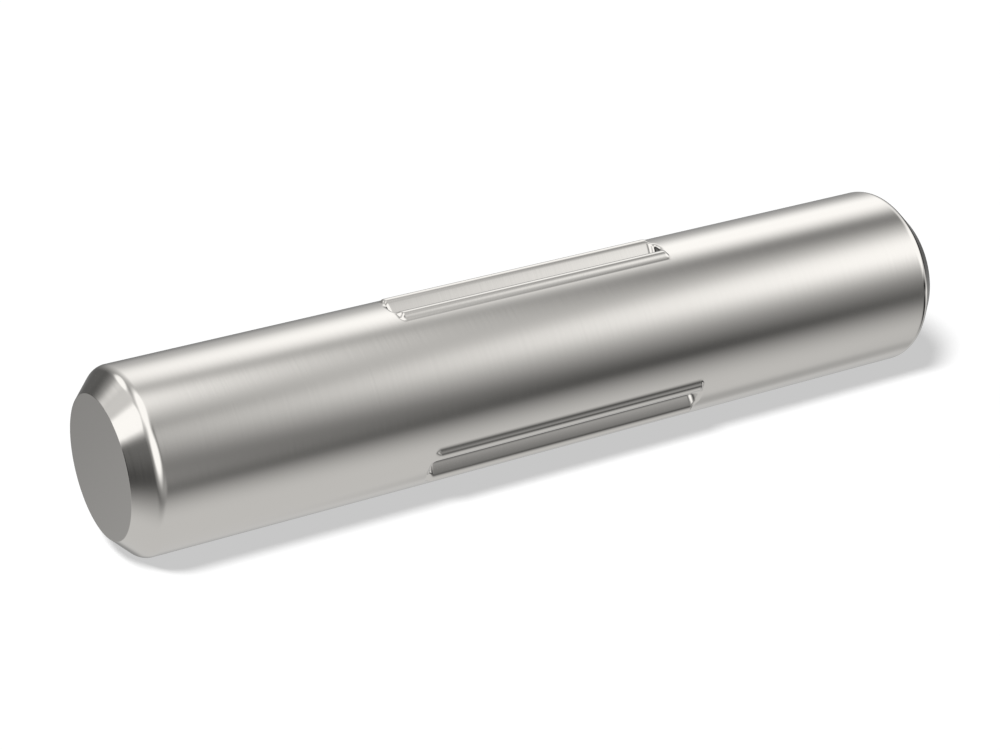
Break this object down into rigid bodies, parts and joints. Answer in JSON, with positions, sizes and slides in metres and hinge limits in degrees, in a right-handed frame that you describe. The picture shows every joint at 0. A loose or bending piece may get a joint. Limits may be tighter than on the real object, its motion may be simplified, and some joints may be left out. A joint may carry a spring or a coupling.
{
  "type": "grooved pin",
  "caption": "Cylindrical steel pin with chamfered ends and raised-lip grooves in its middle third, driven into a plain drilled hole.",
  "frame": {"origin": "middle of the lower end face, on which the pin stands", "axes": "+Z along the pin, from the lower end face to the upper one; +Y out of one of the grooves; the two ends are alike"},
  "size_m": [0.01, 0.0101, 0.05],
  "materials": {
    "ground_steel": "bare steel, ground and then tumbled to a soft mirror shine"
  },
  "bodies": {
    "root": {"grooved_pin": "ground_steel"}
  },
  "joints": []
}
